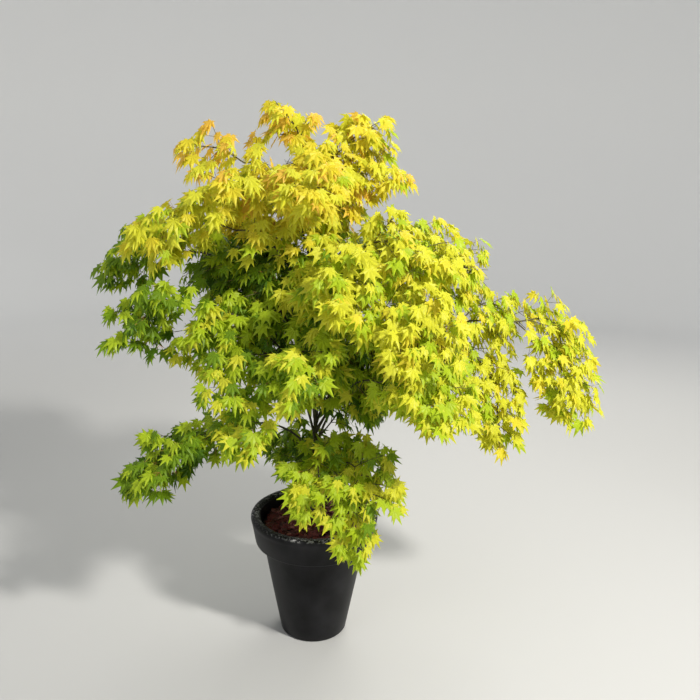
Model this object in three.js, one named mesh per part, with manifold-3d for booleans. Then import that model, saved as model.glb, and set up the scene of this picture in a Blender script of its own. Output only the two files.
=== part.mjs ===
// A young Japanese maple in a dark collared planter, about two metres tall. Millimetres, +Z up.
// The origin is the middle of the pot's underside, and the plant is seen from -Y in its usual view.
// The tree is one trunk, limbs that leave it, and sprays of leaves that grow on from the limbs.
import * as THREE from "three";
import { mergeGeometries, mergeVertices } from "three/addons/utils/BufferGeometryUtils.js";
import Module from "manifold-3d";

const wasm = await Module();
wasm.setup();

// Driving dimensions
const POT = {
  height: 500,
  baseRadius: 131,
  neckRadius: 204,
  collarFoot: 388,
  collarRadius: 231,
  rimRadius: 250,
  lipInner: 214,
  wall: 12,
  floor: 20,
  sides: 36,
};
const GROUND = 432; // the top of the potting soil
const MULCH = { top: 452, bump: 6, rings: 3, sides: 18 };
const TRUNK = {
  tip: 1830,
  fork: 790,
  footRadius: 13,
  forkRadius: 9,
  leaderRadius: 7,
  tipRadius: 2.8,
  flare: 10,
  flareHeight: 34,
  roots: 5,
  sides: 10,
  steps: 12,
};
const LIMB = { rootRadius: 6, tipRadius: 2.8, arch: 0.45, lift: 25, sides: 5, steps: 4 };
const STEM = { rootRadius: 3.2, tipRadius: 2.6, steps: 3 };
const TWIG = {
  radius: 1.3,
  angle: 54,
  pairs: [
    { at: 0.47, length: 0.85, turn: 66 },
    { at: 0.7, length: 0.85, turn: 12 },
  ],
};
const LEAF = {
  size: 145,
  thickness: 3,
  rib: 0.32,
  droop: [0.5, 1.3],
  beside: 65,
  sunk: 0.4,
  tipSunk: 4,
  tries: 7,
};
const CLEAR = 0.3; // the gap between pieces that meet
const ROOM = 1.2; // the least room between a leaf and a limb or another spray

// The trunk's line, from just under its flat cut on the soil to its tip: a slight lean, two soft bends.
const TRUNK_LINE = [
  [0, 0, GROUND - 8],
  [-3, 2, 600],
  [1, 0, TRUNK.fork],
  [-9, 4, 1090],
  [-18, 0, 1400],
  [-34, 2, 1650],
  [-50, 6, TRUNK.tip],
];

// Limbs: the height where each leaves the trunk, and the direction, reach and height of its tip.
// Directions are degrees round the trunk: 0 is right, 90 is the back, 180 left and -90 the front.
const LIMBS = {
  limb_skirt: { from: 610, azimuth: -60, reach: 225, height: 690 },
  limb_low_left: { from: 735, azimuth: -148, reach: 300, height: 905 },
  limb_right_mid_low: { from: 772, azimuth: -40, reach: 300, height: 1090 },
  limb_back_low: { from: 700, azimuth: 88, reach: 170, height: 900 },
  limb_right_long: { from: 830, azimuth: 3, reach: 500, height: 1240 },
  limb_left_low: { from: 800, azimuth: -154, reach: 200, height: 1160 },
  limb_back_right_low: { from: 862, azimuth: 40, reach: 320, height: 1110 },
  limb_back_left_low: { from: 890, azimuth: 124, reach: 280, height: 1220 },
  limb_right_mid: { from: 930, azimuth: -46, reach: 240, height: 1310 },
  limb_left_low_far: { from: 965, azimuth: -171, reach: 430, height: 1310 },
  limb_back_middle: { from: 1000, azimuth: 92, reach: 250, height: 1290 },
  limb_far_right: { from: 1035, azimuth: -4, reach: 730, height: 1290 },
  limb_left_far: { from: 1090, azimuth: 176, reach: 500, height: 1510 },
  limb_right_upper_far: { from: 1160, azimuth: 6, reach: 320, height: 1490 },
  limb_right_upper: { from: 1290, azimuth: -34, reach: 145, height: 1530 },
  limb_left_high: { from: 1260, azimuth: -163, reach: 290, height: 1600 },
  limb_back_left_high: { from: 1300, azimuth: 130, reach: 250, height: 1550 },
  limb_back_right_high: { from: 1340, azimuth: 50, reach: 250, height: 1530 },
  limb_upper_left: { from: 1480, azimuth: -160, reach: 150, height: 1700 },
  limb_upper_left_tip: { from: 1590, azimuth: 178, reach: 260, height: 1830 },
};

// Sprays: what each grows on (a limb, or a height on the trunk), the direction, reach and height of its
// heart, how far it spreads past that, and how far its outer end falls.
const SPRAYS = {
  spray_crown_tip: { on: TRUNK.tip, azimuth: 165, reach: 80, height: 1950, spread: 80, fall: -85 },
  spray_crown_right: { on: 1730, azimuth: 15, reach: 100, height: 1900, spread: 80, fall: -60 },
  spray_upper_right: { on: 1560, azimuth: -8, reach: 150, height: 1800, spread: 95, fall: 10 },
  spray_upper_front: { on: 1645, azimuth: -97, reach: 150, height: 1765, spread: 115, fall: 40 },
  spray_upper_back: { on: 1500, azimuth: 95, reach: 170, height: 1750, spread: 130, fall: 30 },
  spray_upper_left: { on: "limb_upper_left", azimuth: -156, reach: 265, height: 1740, spread: 130, fall: 30 },
  spray_upper_left_tip: {
    on: "limb_upper_left_tip", azimuth: 179, reach: 340, height: 1875, spread: 75, fall: -10,
  },
  spray_left_high: { on: "limb_left_high", azimuth: -161, reach: 440, height: 1615, spread: 130, fall: 50 },
  spray_left_far: { on: "limb_left_far", azimuth: 176, reach: 615, height: 1500, spread: 100, fall: 75 },
  spray_left_inner: { on: 1205, azimuth: 158, reach: 350, height: 1440, spread: 150, fall: 40 },
  spray_left_low_far: {
    on: "limb_left_low_far", azimuth: -171, reach: 530, height: 1310, spread: 125, fall: 85,
  },
  spray_left_mid_low: { on: "limb_left_low", azimuth: -168, reach: 340, height: 1235, spread: 125, fall: 60 },
  spray_left_drop: { on: "limb_left_low", azimuth: -138, reach: 335, height: 1145, spread: 85, fall: 70 },
  spray_low_left_far: {
    on: "limb_low_left", azimuth: -156, reach: 505, height: 830, spread: 115, fall: 110,
  },
  spray_low_left_mid: {
    on: "limb_low_left", azimuth: -131, reach: 350, height: 965, spread: 90, fall: 45,
  },
  spray_centre_low: { on: 900, azimuth: -98, reach: 265, height: 1185, spread: 120, fall: 70 },
  spray_skirt_left: { on: 655, azimuth: -84, reach: 165, height: 755, spread: 105, fall: 105 },
  spray_skirt_right: { on: 690, azimuth: -52, reach: 235, height: 745, spread: 120, fall: 80 },
  spray_skirt_drop: { on: "limb_skirt", azimuth: -62, reach: 295, height: 600, spread: 45, fall: 90 },
  spray_skirt_back: { on: 640, azimuth: 112, reach: 190, height: 710, spread: 105, fall: 80 },
  spray_right_upper: { on: "limb_right_upper", azimuth: -32, reach: 285, height: 1550, spread: 160, fall: 45 },
  spray_right_upper_far: {
    on: "limb_right_upper_far", azimuth: 6, reach: 450, height: 1500, spread: 130, fall: 80,
  },
  spray_front_high: { on: 1250, azimuth: -70, reach: 260, height: 1450, spread: 120, fall: 60 },
  spray_right_mid: { on: "limb_right_mid", azimuth: -47, reach: 405, height: 1330, spread: 155, fall: 80 },
  spray_right_mid_low: {
    on: "limb_right_mid_low", azimuth: -39, reach: 460, height: 1130, spread: 125, fall: 75,
  },
  spray_right_inner: { on: 795, azimuth: 6, reach: 265, height: 1065, spread: 105, fall: 55 },
  spray_right_far: { on: "limb_right_long", azimuth: 5, reach: 640, height: 1310, spread: 110, fall: 60 },
  spray_right_drop: { on: "limb_right_long", azimuth: -13, reach: 650, height: 1070, spread: 55, fall: 180 },
  spray_far_right_top: { on: "limb_far_right", azimuth: -1, reach: 850, height: 1265, spread: 95, fall: 60 },
  spray_far_right_drop: {
    on: "limb_far_right", azimuth: -8, reach: 880, height: 1130, spread: 80, fall: 140,
  },
  spray_back_left_high: {
    on: "limb_back_left_high", azimuth: 130, reach: 430, height: 1560, spread: 150, fall: 60,
  },
  spray_back_right_high: {
    on: "limb_back_right_high", azimuth: 52, reach: 430, height: 1460, spread: 150, fall: 60,
  },
  spray_back_middle: { on: "limb_back_middle", azimuth: 92, reach: 400, height: 1300, spread: 140, fall: 80 },
  spray_back_left_low: {
    on: "limb_back_left_low", azimuth: 123, reach: 440, height: 1230, spread: 145, fall: 70,
  },
  spray_back_right_low: {
    on: "limb_back_right_low", azimuth: 40, reach: 490, height: 1110, spread: 150, fall: 100,
  },
  spray_back_low: { on: "limb_back_low", azimuth: 85, reach: 330, height: 1000, spread: 130, fall: 90 },
};

// The leaf's outline: the direction of each point in degrees from the middle lobe, and its distance from
// the middle of the blade as a share of the leaf's size. The first point is the stalk end.
const LEAF_OUTLINE = [
  [180, 0.34],
  [-98, 0.46],
  [-71, 0.26],
  [-49, 0.58],
  [-24, 0.27],
  [0, 0.66],
  [24, 0.27],
  [49, 0.58],
  [71, 0.26],
  [98, 0.46],
];

const FINISH = {
  pot: { color: 0x2b2c30, roughness: 0.5, metalness: 0 },
  soil: { color: 0x2a1c14, roughness: 0.95, metalness: 0 },
  mulch: { color: 0x5a2219, roughness: 0.9, metalness: 0 },
  bark: { color: 0x4b4a35, roughness: 0.85, metalness: 0 },
  gold: { color: 0xdcb92a, roughness: 0.5, metalness: 0 },
  lime: { color: 0xa9c61d, roughness: 0.5, metalness: 0 },
  green: { color: 0x5f9a1e, roughness: 0.5, metalness: 0 },
};
const GOLD_ABOVE = 1700; // sprays whose heart is above this are gold
const GREEN_BELOW = 960; // and below this they are green

// Small helpers

const UP = new THREE.Vector3(0, 0, 1);
const radians = THREE.MathUtils.degToRad;

/** A repeatable source of numbers from 0 to 1. */
function seeded(seed) {
  let state = seed;
  return () => {
    state = (state + 0x6d2b79f5) | 0;
    let mixed = Math.imul(state ^ (state >>> 15), 1 | state);
    mixed = (mixed + Math.imul(mixed ^ (mixed >>> 7), 61 | mixed)) ^ mixed;
    return ((mixed ^ (mixed >>> 14)) >>> 0) / 4294967296;
  };
}

/** The closed solid that a three.js geometry bounds. */
function solidOf(geometry) {
  const bare = new THREE.BufferGeometry();
  bare.setAttribute("position", geometry.getAttribute("position"));
  bare.setIndex(geometry.index);
  const merged = mergeVertices(bare, 1e-3);
  return new wasm.Manifold(
    new wasm.Mesh({
      numProp: 3,
      vertProperties: merged.getAttribute("position").array,
      triVerts: new Uint32Array(merged.index.array),
    }),
  );
}

/** A solid as a three.js mesh. */
function meshOf(name, solid, finish) {
  const { vertProperties, triVerts } = solid.getMesh();
  const geometry = new THREE.BufferGeometry();
  geometry.setAttribute("position", new THREE.BufferAttribute(vertProperties, 3));
  geometry.setIndex(new THREE.BufferAttribute(triVerts, 1));
  const mesh = new THREE.Mesh(geometry, new THREE.MeshStandardMaterial({ ...finish, flatShading: true }));
  mesh.name = name;
  return mesh;
}

/** The largest piece of a solid: a cut can leave a scrap behind. */
function mainPiece(solid) {
  return solid.decompose().reduce((a, b) => (b.volume() > a.volume() ? b : a));
}

/** A point at a direction, reach and height round the trunk. */
function around(azimuth, reach, height) {
  const angle = radians(azimuth);
  return new THREE.Vector3(reach * Math.cos(angle), reach * Math.sin(angle), height);
}

/**
 * A cylinder bent along a curve, with its radius worked out along the way. grow makes it stouter, and as
 * much longer at its tip. ribs is how the radius changes round the section.
 */
function tube(curve, radiusAt, sides, steps, grow = 0, ribs = () => 1) {
  const shape = new THREE.CylinderGeometry(1, 1, 1, sides, steps);
  const frames = curve.computeFrenetFrames(steps, false);
  const place = shape.getAttribute("position");
  for (let i = 0; i < place.count; i++) {
    const step = Math.round((place.getY(i) + 0.5) * steps);
    const along = step / steps;
    const x = place.getX(i);
    const z = place.getZ(i);
    const reach = (radiusAt(along) + grow) * ribs(along, Math.atan2(z, x));
    const point = curve.getPointAt(along);
    point.addScaledVector(frames.normals[step], x * reach);
    point.addScaledVector(frames.binormals[step], -z * reach);
    if (step === steps) point.addScaledVector(frames.tangents[step], grow);
    place.setXYZ(i, point.x, point.y, point.z);
  }
  return solidOf(shape);
}

/** A solid of revolution round the trunk's axis, from a profile of [radius, height] points. */
function turned(profile, sides) {
  const points = profile.map(([radius, height]) => new THREE.Vector2(radius, height));
  return solidOf(new THREE.LatheGeometry(points, sides).rotateX(Math.PI / 2));
}

// The planter and what fills it

/** The inside radius of the pot at a height. */
function potInside(height) {
  const neckInner = POT.neckRadius - POT.wall;
  if (height > POT.collarFoot) {
    const share = (height - POT.collarFoot) / (POT.height - POT.collarFoot);
    return THREE.MathUtils.lerp(neckInner, POT.lipInner, share);
  }
  const share = (height - POT.floor) / (POT.collarFoot - POT.floor);
  return THREE.MathUtils.lerp(POT.baseRadius - POT.wall, neckInner, share);
}

function buildPot() {
  const { height, baseRadius, neckRadius, collarFoot, collarRadius, rimRadius, lipInner, floor } = POT;
  const edge = 4;
  const roll = 9;
  return turned(
    [
      [0, 0],
      [baseRadius - edge, 0],
      [baseRadius, edge],
      [neckRadius, collarFoot],
      [collarRadius, collarFoot],
      [rimRadius, height - roll],
      [rimRadius - roll / 2, height],
      [lipInner + roll / 2, height],
      [lipInner, height - roll / 2],
      [potInside(collarFoot), collarFoot],
      [potInside(floor), floor],
      [0, floor],
    ],
    POT.sides,
  );
}

/** The room that the whole planter takes up, with a margin. Leaves stay out of it. */
function buildPotRoom() {
  const side = POT.rimRadius + ROOM;
  return turned([[0, -ROOM], [side, -ROOM], [side, POT.height + ROOM], [0, POT.height + ROOM]], POT.sides);
}

function buildSoil() {
  const foot = POT.floor + CLEAR;
  const fitted = (height) => potInside(height) - 2 * CLEAR;
  return turned(
    [
      [0, foot],
      [fitted(POT.floor) - CLEAR, foot],
      [fitted(POT.collarFoot), POT.collarFoot],
      [fitted(GROUND), GROUND],
      [0, GROUND],
    ],
    POT.sides,
  );
}

/** Bark mulch: a layer over the soil whose top is uneven, cut clear of the trunk. */
function buildMulch(fatTrunk) {
  const random = seeded(7);
  const rim = potInside(GROUND) - 2 * CLEAR;
  const profile = [[0, GROUND + CLEAR], [rim, GROUND + CLEAR]];
  for (let ring = MULCH.rings; ring >= 0; ring--) profile.push([(rim * ring) / MULCH.rings, MULCH.top]);
  const points = profile.map(([radius, height]) => new THREE.Vector2(radius, height));
  const shape = mergeVertices(
    new THREE.LatheGeometry(points, MULCH.sides).deleteAttribute("normal").deleteAttribute("uv"),
    1e-3,
  ).rotateX(Math.PI / 2);
  const place = shape.getAttribute("position");
  for (let i = 0; i < place.count; i++) {
    if (place.getZ(i) > MULCH.top - 1) place.setZ(i, MULCH.top + MULCH.bump * (2 * random() - 1));
  }
  return mainPiece(solidOf(shape).subtract(fatTrunk));
}

// The trunk

const trunkCurve = new THREE.CatmullRomCurve3(TRUNK_LINE.map((point) => new THREE.Vector3(...point)));

/** How far along the trunk's curve a height is, from 0 to 1. */
function trunkShare(height) {
  let low = 0;
  let high = 1;
  for (let i = 0; i < 30; i++) {
    const middle = (low + high) / 2;
    if (trunkCurve.getPointAt(middle).z < height) low = middle;
    else high = middle;
  }
  return low;
}

/** The trunk's radius: it tapers to the fork, is slimmer above it, and flares at its foot. */
function trunkRadius(along) {
  const height = trunkCurve.getPointAt(along).z;
  const flare = TRUNK.flare * Math.exp(-(height - GROUND) / TRUNK.flareHeight);
  if (height < TRUNK.fork) {
    const share = (height - GROUND) / (TRUNK.fork - GROUND);
    return flare + THREE.MathUtils.lerp(TRUNK.footRadius, TRUNK.forkRadius, share);
  }
  const share = (height - TRUNK.fork) / (TRUNK.tip - TRUNK.fork);
  return flare + THREE.MathUtils.lerp(TRUNK.leaderRadius, TRUNK.tipRadius, share);
}

/** The trunk, its foot ribbed by the tops of its roots and cut flat where it stands on the soil. */
function buildTrunk(grow = 0) {
  const ribs = (along, angle) => 1 + 0.16 * Math.exp(-along * 30) * Math.cos(TRUNK.roots * angle);
  const solid = tube(trunkCurve, trunkRadius, TRUNK.sides, TRUNK.steps, grow, ribs);
  return grow > 0 ? solid : solid.trimByPlane([0, 0, 1], GROUND + CLEAR);
}

// The limbs

/** A limb's line: it leaves the trunk steeply and arches over to its tip. */
function limbCurve({ from, azimuth, reach, height }) {
  const root = trunkCurve.getPointAt(trunkShare(from));
  const tip = around(azimuth, reach, height);
  const bend = root.clone().lerp(tip, LIMB.arch);
  bend.z = height + LIMB.lift;
  return new THREE.QuadraticBezierCurve3(root, bend, tip);
}

const limbRadius = (along) => THREE.MathUtils.lerp(LIMB.rootRadius, LIMB.tipRadius, Math.sqrt(along));

function buildLimb(curve, grow = 0) {
  return tube(curve, limbRadius, LIMB.sides, LIMB.steps, grow);
}

// The sprays

/**
 * The line of a spray's stem: from its limb's tip or the trunk, through its heart, to its outer end.
 * Where two sprays share a limb, their stems leave the tip side by side.
 */
function stemCurve(spray, partner) {
  const heart = around(spray.azimuth, spray.reach, spray.height);
  let root;
  if (typeof spray.on === "string") {
    const limb = limbCurve(LIMBS[spray.on]);
    const heading = limb.getTangentAt(1);
    root = limb.getPointAt(1);
    if (partner) {
      const other = around(partner.azimuth, partner.reach, partner.height);
      const aside = heart.clone().sub(other).projectOnPlane(heading).normalize();
      root.addScaledVector(aside, STEM.rootRadius + 2 * CLEAR);
    }
    root.addScaledVector(heart.clone().sub(root).normalize(), -STEM.rootRadius);
  } else {
    root = trunkCurve.getPointAt(Math.min(trunkShare(spray.on), 1));
  }
  const outward = heart.clone().sub(root).setZ(0).normalize();
  const end = heart.clone().addScaledVector(outward, spray.spread);
  end.z -= spray.fall;
  return new THREE.CatmullRomCurve3([root, heart, end]);
}

/** A point on the middle line of the straight lengths that a stem is made of. */
function pointOnStem(curve, along) {
  const step = Math.min(Math.floor(along * STEM.steps), STEM.steps - 1);
  const start = curve.getPointAt(step / STEM.steps);
  return start.lerp(curve.getPointAt((step + 1) / STEM.steps), along * STEM.steps - step);
}

const stemRadius = (along) => THREE.MathUtils.lerp(STEM.rootRadius, STEM.tipRadius, along);

/** A straight three-sided twig. */
function twigSolid(start, end) {
  return tube(new THREE.LineCurve3(start, end), () => TWIG.radius, 3, 1);
}

/** The blade that all leaves share, of size 1: five lobes, flat below, its ribs meeting near the stalk. */
function buildBlade() {
  const outline = LEAF_OUTLINE.map(([degrees, share]) =>
    new THREE.Vector2(Math.cos(radians(degrees)), Math.sin(radians(degrees))).multiplyScalar(share),
  );
  const under = new THREE.ShapeGeometry(new THREE.Shape(outline)).rotateX(Math.PI);
  const upper = new THREE.CircleGeometry(1, outline.length);
  const points = upper.getAttribute("position");
  points.setXYZ(0, -LEAF.rib, 0, 1);
  for (let i = 1; i < points.count; i++) {
    const corner = outline[(i - 1) % outline.length];
    points.setXY(i, corner.x, corner.y);
  }
  return solidOf(mergeGeometries([under, upper]).translate(LEAF_OUTLINE[0][1], 0, 0));
}

const blade = buildBlade();

/** A leaf with its stalk end at a root and its point along a heading. face is where its upper side looks. */
function leafSolid(root, heading, face, size) {
  const side = new THREE.Vector3().crossVectors(face, heading).normalize().multiplyScalar(size);
  const normal = new THREE.Vector3().crossVectors(heading, side).normalize().multiplyScalar(LEAF.thickness);
  const place = new THREE.Matrix4().makeBasis(heading.clone().multiplyScalar(size), side, normal);
  return blade.transform(place.setPosition(root).elements);
}

/** Every corner of a solid. */
function corners(solid) {
  const { vertProperties, numVert } = solid.getMesh();
  return Array.from({ length: numVert }, (_, i) => new THREE.Vector3().fromArray(vertProperties, 3 * i));
}

/** Whether all of a solid lies nearer to its own spray's heart than to any other's. */
function inOwnSpace(solid, hearts, own) {
  return corners(solid).every((corner) =>
    hearts.every((heart, other) => {
      if (other === own) return true;
      const between = heart.clone().sub(hearts[own]);
      const middle = heart.clone().add(hearts[own]).multiplyScalar(0.5);
      return corner.clone().sub(middle).dot(between) / between.length() < -ROOM;
    }),
  );
}

/** A direction turned away from forward, towards aside. */
function turnedFrom(forward, aside, degrees) {
  const angle = radians(degrees);
  return forward.clone().multiplyScalar(Math.cos(angle)).addScaledVector(aside, Math.sin(angle));
}

/** The level direction to the left of a heading. */
const leftOf = (heading) => new THREE.Vector3().crossVectors(UP, heading).normalize();

/**
 * A spray: two pairs of twigs off one stem, the first pair turned upright, with leaves at their tips and
 * beside them, and three leaves at the stem's end. What would leave the spray's space, or touch a limb, a
 * stem or a leaf, is left out.
 */
function buildSpray(stem, stemSolid, spread, hearts, own, obstacles) {
  const random = seeded(own + 11);
  const between = (low, high) => low + (high - low) * random();
  const grown = [stemSolid];
  const leaves = [];
  const fits = (solid) => inOwnSpace(solid, hearts, own) && solid.intersect(obstacles).isEmpty();

  const addLeaf = (place, forward, degrees, sunk) => {
    const left = leftOf(forward);
    for (let attempt = 0; attempt < LEAF.tries; attempt++) {
      const swing = (6 + 12 * attempt) * between(-1, 1);
      const heading = turnedFrom(forward, left, degrees + swing).setZ(0).normalize();
      heading.z = -between(...LEAF.droop);
      heading.normalize();
      const face = UP.clone().addScaledVector(leftOf(heading), between(-0.4, 0.4));
      const size = LEAF.size * (1 - 0.07 * attempt) * between(0.95, 1.05);
      const leaf = leafSolid(place.clone().addScaledVector(heading, -sunk), heading, face, size);
      if (fits(leaf) && leaves.every((other) => leaf.intersect(other).isEmpty())) {
        leaves.push(leaf);
        return;
      }
    }
  };

  const growTwig = (pair, sign) => {
    const start = pointOnStem(stem, pair.at);
    const forward = stem.getTangentAt(pair.at);
    const aside = leftOf(forward).applyAxisAngle(forward, radians(pair.turn * between(0.8, 1.2)));
    const heading = turnedFrom(forward, aside, sign * TWIG.angle * between(0.85, 1.15));
    const length = spread * pair.length * between(0.9, 1.1);
    for (const share of [1, 0.75, 0.5]) {
      const tip = start.clone().addScaledVector(heading, length * share);
      const twig = twigSolid(start, tip);
      if (!fits(twig)) continue;
      grown.push(twig);
      addLeaf(tip, heading, 0, LEAF.tipSunk);
      addLeaf(start.clone().lerp(tip, 0.55), heading, sign * LEAF.beside, LEAF.sunk);
      return;
    }
  };

  addLeaf(pointOnStem(stem, 1), stem.getTangentAt(1), 0, LEAF.tipSunk);
  for (const pair of TWIG.pairs) {
    for (const sign of [1, -1]) growTwig(pair, sign);
  }
  for (const sign of [1, -1]) {
    addLeaf(pointOnStem(stem, 0.94), stem.getTangentAt(1), sign * LEAF.beside, LEAF.sunk);
  }
  return mainPiece(wasm.Manifold.union([...grown, ...leaves]).simplify(0.2));
}

// Assembly

const tree = new THREE.Group();
const trunk = buildTrunk();
const fatTrunk = buildTrunk(CLEAR);
tree.add(meshOf("pot", buildPot(), FINISH.pot));
tree.add(meshOf("potting_soil", buildSoil(), FINISH.soil));
tree.add(meshOf("bark_mulch", buildMulch(buildTrunk(2 * CLEAR)), FINISH.mulch));
tree.add(meshOf("trunk", trunk, FINISH.bark));

const limbCurves = Object.values(LIMBS).map(limbCurve);
let fatWood = fatTrunk;
Object.keys(LIMBS).forEach((name, i) => {
  tree.add(meshOf(name, mainPiece(buildLimb(limbCurves[i]).subtract(fatWood).simplify(0.1)), FINISH.bark));
  fatWood = fatWood.add(buildLimb(limbCurves[i], CLEAR));
});

const rows = Object.values(SPRAYS);
const stems = rows.map((row) => stemCurve(row, rows.find((other) => other !== row && other.on === row.on)));
const stemSolids = stems.map((stem, i) => {
  const solid = tube(stem, stemRadius, 3, STEM.steps);
  const limb = LIMBS[rows[i].on];
  if (!limb) return mainPiece(solid.subtract(fatTrunk).simplify(0.1));
  const curve = limbCurve(limb);
  const heading = curve.getTangentAt(1);
  return solid.trimByPlane(heading.toArray(), curve.getPointAt(1).dot(heading) + CLEAR);
});
const fatStems = stems.map((stem) => tube(stem, stemRadius, 3, STEM.steps, ROOM));
const occupied = wasm.Manifold.union([
  buildPotRoom(),
  buildTrunk(ROOM),
  ...limbCurves.map((curve) => buildLimb(curve, ROOM)),
]);
const hearts = rows.map((row) => around(row.azimuth, row.reach, row.height));

Object.keys(SPRAYS).forEach((name, i) => {
  const others = fatStems.filter((_, other) => other !== i);
  const spray = buildSpray(
    stems[i],
    stemSolids[i],
    rows[i].spread,
    hearts,
    i,
    wasm.Manifold.union([occupied, ...others]),
  );
  const { height } = rows[i];
  const finish = height > GOLD_ABOVE ? FINISH.gold : height < GREEN_BELOW ? FINISH.green : FINISH.lime;
  tree.add(meshOf(name, spray, finish));
});

export default tree;
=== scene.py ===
# %% [markdown]
# # A potted Japanese maple
#
# This lesson dresses a plain solid model of a young maple, about two metres tall in a half-metre
# planter, so that it looks like the real plant. The solid model is loaded first, and its shapes are
# never changed. Most solids are then replaced by finer pieces: a smooth planter, loose bark mulch, a
# trunk and limbs with bark on them, and thousands of real-sized leaves on fine twigs. Lengths are
# metres where no comment says otherwise. The pot's underside is centred on the origin, and +Z is up.

from math import cos, exp, hypot, pi, radians, sin, sqrt

import bmesh
import bpy
import numpy as np
from mathutils import Matrix, Vector, noise
from numpy.linalg import norm


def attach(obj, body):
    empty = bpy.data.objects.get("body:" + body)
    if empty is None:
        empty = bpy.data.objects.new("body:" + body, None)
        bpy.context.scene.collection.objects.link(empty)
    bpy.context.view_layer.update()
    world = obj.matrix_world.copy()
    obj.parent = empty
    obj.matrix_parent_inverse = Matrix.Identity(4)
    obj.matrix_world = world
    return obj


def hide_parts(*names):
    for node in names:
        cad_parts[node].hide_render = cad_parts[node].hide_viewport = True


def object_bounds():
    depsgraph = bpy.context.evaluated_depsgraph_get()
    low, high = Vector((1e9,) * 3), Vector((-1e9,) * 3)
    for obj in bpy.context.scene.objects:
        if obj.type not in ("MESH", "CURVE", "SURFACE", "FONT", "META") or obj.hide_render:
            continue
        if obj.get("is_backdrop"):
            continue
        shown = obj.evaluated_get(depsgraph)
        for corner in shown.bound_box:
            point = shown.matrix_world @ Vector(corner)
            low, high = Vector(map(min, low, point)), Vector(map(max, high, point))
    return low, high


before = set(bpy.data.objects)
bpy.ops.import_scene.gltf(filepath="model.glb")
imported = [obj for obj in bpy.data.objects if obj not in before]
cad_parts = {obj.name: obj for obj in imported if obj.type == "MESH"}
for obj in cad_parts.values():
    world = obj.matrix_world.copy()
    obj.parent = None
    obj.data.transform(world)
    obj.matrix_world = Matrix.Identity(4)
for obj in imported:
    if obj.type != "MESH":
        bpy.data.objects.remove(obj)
solid_box = [list(corner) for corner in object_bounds()]
print("the solid model's box:", solid_box)

# %% [markdown]
# ## The camera
#
# The plant is seen from standing height, almost three metres away, looking a little down, so the
# pot's rim is an open ellipse. A slightly wide lens keeps the drooping right-hand branches in view.
# The camera is tipped a degree, as one held by hand is.

# %% Place the camera
EYE = Vector((0.127, -2.64, 1.80))
LOOK_DOWN = radians(13.65)
TIPPED = radians(1.2)
SENSOR_WIDTH = 36
# The focal length as a share of the picture's width.
FOCAL_SHARE = 725 / 700


def add_object(name, data):
    """An object at the origin, linked into the scene."""
    made = bpy.data.objects.new(name, data)
    bpy.context.collection.objects.link(made)
    return made


camera_data = bpy.data.cameras.new("camera")
camera_data.sensor_width = SENSOR_WIDTH
camera_data.lens = SENSOR_WIDTH * FOCAL_SHARE
camera = add_object("camera", camera_data)
camera.matrix_world = (
    Matrix.Translation(EYE)
    @ Matrix.Rotation(pi / 2 - LOOK_DOWN, 4, "X")
    @ Matrix.Rotation(TIPPED, 4, "Z")
)
bpy.context.scene.camera = camera
print("lens", round(camera_data.lens, 1), "mm")

# %% [markdown]
# ## Helpers for materials
#
# Every material starts from the Principled shader. Patterns are noise read at Object coordinates,
# which are metres here, so a scale of 400 gives grains a few millimetres across. A small class holds
# a material while nodes are added to it, such as a ramp that colours a noise, or bumps from one.

# %% Write the material helpers


class Finish:
    """A material that is being built: its node tree, its shader and its Object coordinates."""

    def __init__(self, name, roughness):
        self.material = bpy.data.materials.new(name)
        self.material.use_nodes = True
        self.tree = self.material.node_tree
        self.shader = self.tree.nodes["Principled BSDF"]
        self.shader.inputs["Base Color"].default_value = (0.5, 0.5, 0.5, 1)
        self.shader.inputs["Roughness"].default_value = roughness
        self.place = self.node("TexCoord", {}, "Object")

    def node(self, kind, inputs, output, **settings):
        """Add a node and hand back one output. Each input is another node's output or a plain value."""
        made = self.tree.nodes.new("ShaderNode" + kind)
        for name, value in settings.items():
            setattr(made, name, value)
        for name, value in inputs.items():
            if isinstance(value, bpy.types.NodeSocket):
                self.tree.links.new(value, made.inputs[name])
            else:
                made.inputs[name].default_value = value
        return made.outputs[output]

    def noise(self, scale, detail=3.0, stretch=(1, 1, 1)):
        """Noise from 0 to 1. stretch squeezes the pattern along an axis where it is large."""
        vector = self.node("Mapping", {"Vector": self.place, "Scale": stretch}, "Vector")
        return self.node("TexNoise", {"Vector": vector, "Scale": scale, "Detail": detail}, "Fac")

    def ramp(self, value, stops):
        """Colours along a value: stops are two pairs of (where, colour)."""
        colours = self.node("ValToRGB", {"Fac": value}, "Color")
        for element, (where, colour) in zip(colours.node.color_ramp.elements, stops):
            element.position = where
            element.color = (*colour, 1)
        return colours

    def mix(self, factor, first, second, blend="MIX"):
        parts = {"Factor": factor, "A": first, "B": second}
        return self.node("Mix", parts, "Result", data_type="RGBA", blend_type=blend)

    def product(self, first, second):
        return self.node("Math", {0: first, 1: second}, "Value", operation="MULTIPLY")

    def spread(self, value, low, high, first=0.0, last=1.0):
        """Spread a value from first-last, which is mostly 0-1, to low-high."""
        limits = {"From Min": first, "From Max": last, "To Min": low, "To Max": high}
        return self.node("MapRange", {"Value": value, **limits}, "Result")

    def colour(self, value):
        self.tree.links.new(value, self.shader.inputs["Base Color"])

    def roughness(self, value, low, high):
        self.tree.links.new(self.spread(value, low, high), self.shader.inputs["Roughness"])

    def bump(self, value, height, strength=1.0):
        """Small relief of a height in metres, on top of what the shader has already."""
        inputs = {"Height": value, "Distance": height, "Strength": strength}
        normal = self.shader.inputs["Normal"]
        if normal.is_linked:
            inputs["Normal"] = normal.links[0].from_socket
        self.tree.links.new(self.node("Bump", inputs, "Normal"), normal)


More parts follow.
